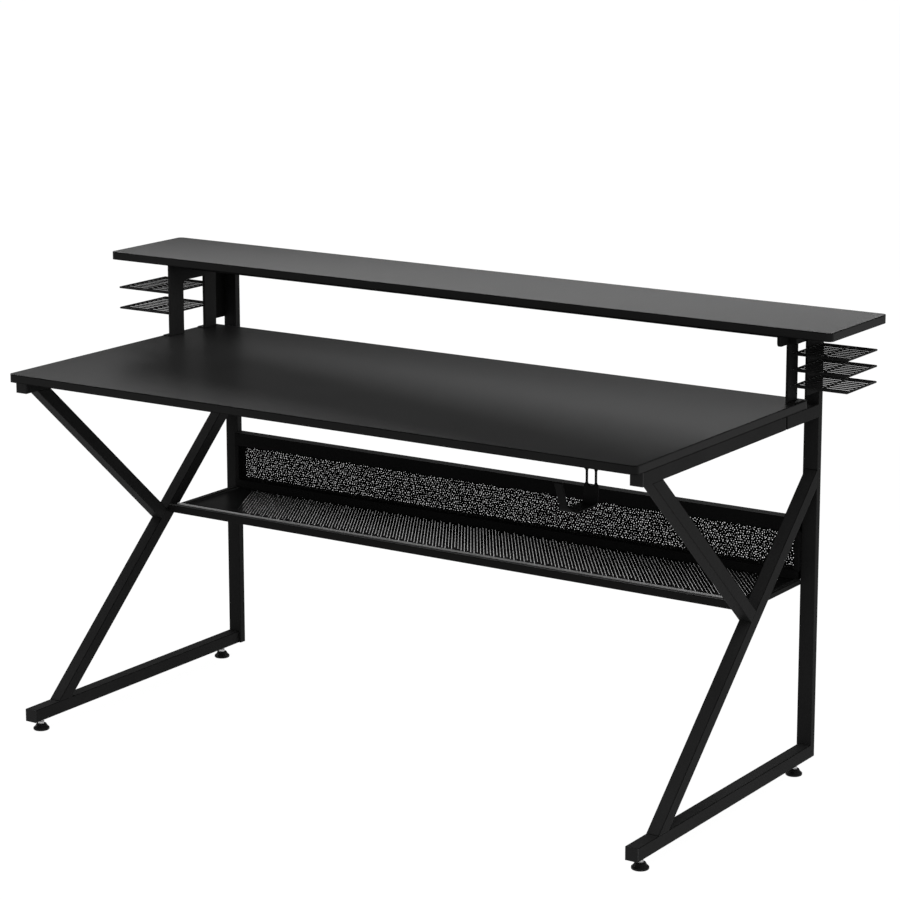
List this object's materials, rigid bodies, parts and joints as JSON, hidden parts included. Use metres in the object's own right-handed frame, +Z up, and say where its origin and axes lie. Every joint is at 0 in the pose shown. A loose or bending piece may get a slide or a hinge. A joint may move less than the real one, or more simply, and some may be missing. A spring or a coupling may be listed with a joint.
{
  "type": "gaming desk",
  "caption": "Gaming desk with K-shaped tube end frames, an overhanging raised shelf, wire racks for flat cases, a perforated lower shelf, a headphone hook and levelling feet.",
  "frame": {"origin": "on the floor, below the middle of the whole desk's bounding box", "axes": "+X to the right as seen from the sitter, +Y from the front edge to the back, +Z up"},
  "size_m": [1.655, 0.697, 0.895],
  "materials": {
    "laminate": "black satin laminate",
    "edging": "matte black edge band",
    "frame": "black powder coat, semi-gloss",
    "mesh": "black painted perforated sheet",
    "rail": "dark warm black paint",
    "plastic": "matte black",
    "fastener": "zinc plated"
  },
  "bodies": {
    "frame": {"desktop": "laminate", "desktop_edge_band": "edging", "shelf_board": "laminate", "shelf_edge_band": "edging", "left_top_rail": "frame", "right_top_rail": "frame", "left_front_strut": "frame", "right_front_strut": "frame", "left_long_strut": "frame", "right_long_strut": "frame", "left_base_rail": "frame", "right_base_rail": "frame", "left_rear_upright": "frame", "right_rear_upright": "frame", "left_rail_stub": "frame", "right_rail_stub": "frame", "rail_connectors": "plastic", "tube_end_caps": "plastic", "front_cross_rail": "frame", "rear_cross_rail": "frame", "shelf_front_rail": "frame", "left_shelf_side_rail": "frame", "right_shelf_side_rail": "frame", "left_rack_bracket": "frame", "right_rack_bracket": "frame", "left_rack_web": "frame", "right_rack_web": "frame", "left_rack_upper_tray": "frame", "left_rack_lower_tray": "frame", "right_rack_upper_tray": "frame", "right_rack_middle_tray": "frame", "right_rack_lower_tray": "frame", "panel_upper_bar": "frame", "panel_lower_bar": "frame", "panel_left_stile": "frame", "panel_right_stile": "frame", "back_mesh_panel": "mesh", "lower_shelf_front_rail": "rail", "left_lower_shelf_bar": "frame", "right_lower_shelf_bar": "frame", "lower_shelf_deck": "mesh", "headphone_hook": "frame", "desktop_lugs": "frame", "desktop_screws": "fastener", "shelf_screws": "fastener", "frame_bolts": "fastener", "foot_inserts": "fastener"},
    "front_left_foot": {"front_left_foot_pad": "plastic", "front_left_foot_stud": "fastener"},
    "front_right_foot": {"front_right_foot_pad": "plastic", "front_right_foot_stud": "fastener"},
    "rear_left_foot": {"rear_left_foot_pad": "plastic", "rear_left_foot_stud": "fastener"},
    "rear_right_foot": {"rear_right_foot_pad": "plastic", "rear_right_foot_stud": "fastener"}
  },
  "joints": [
    {"name": "front_left_foot_height", "type": "slide", "parent": "frame", "child": "front_left_foot", "axis": [0, 0, 1], "range_m": [-0.01, 0.005]},
    {"name": "front_right_foot_height", "type": "slide", "parent": "frame", "child": "front_right_foot", "axis": [0, 0, 1], "range_m": [-0.01, 0.005]},
    {"name": "rear_left_foot_height", "type": "slide", "parent": "frame", "child": "rear_left_foot", "axis": [0, 0, 1], "range_m": [-0.01, 0.005]},
    {"name": "rear_right_foot_height", "type": "slide", "parent": "frame", "child": "rear_right_foot", "axis": [0, 0, 1], "range_m": [-0.01, 0.005]}
  ]
}
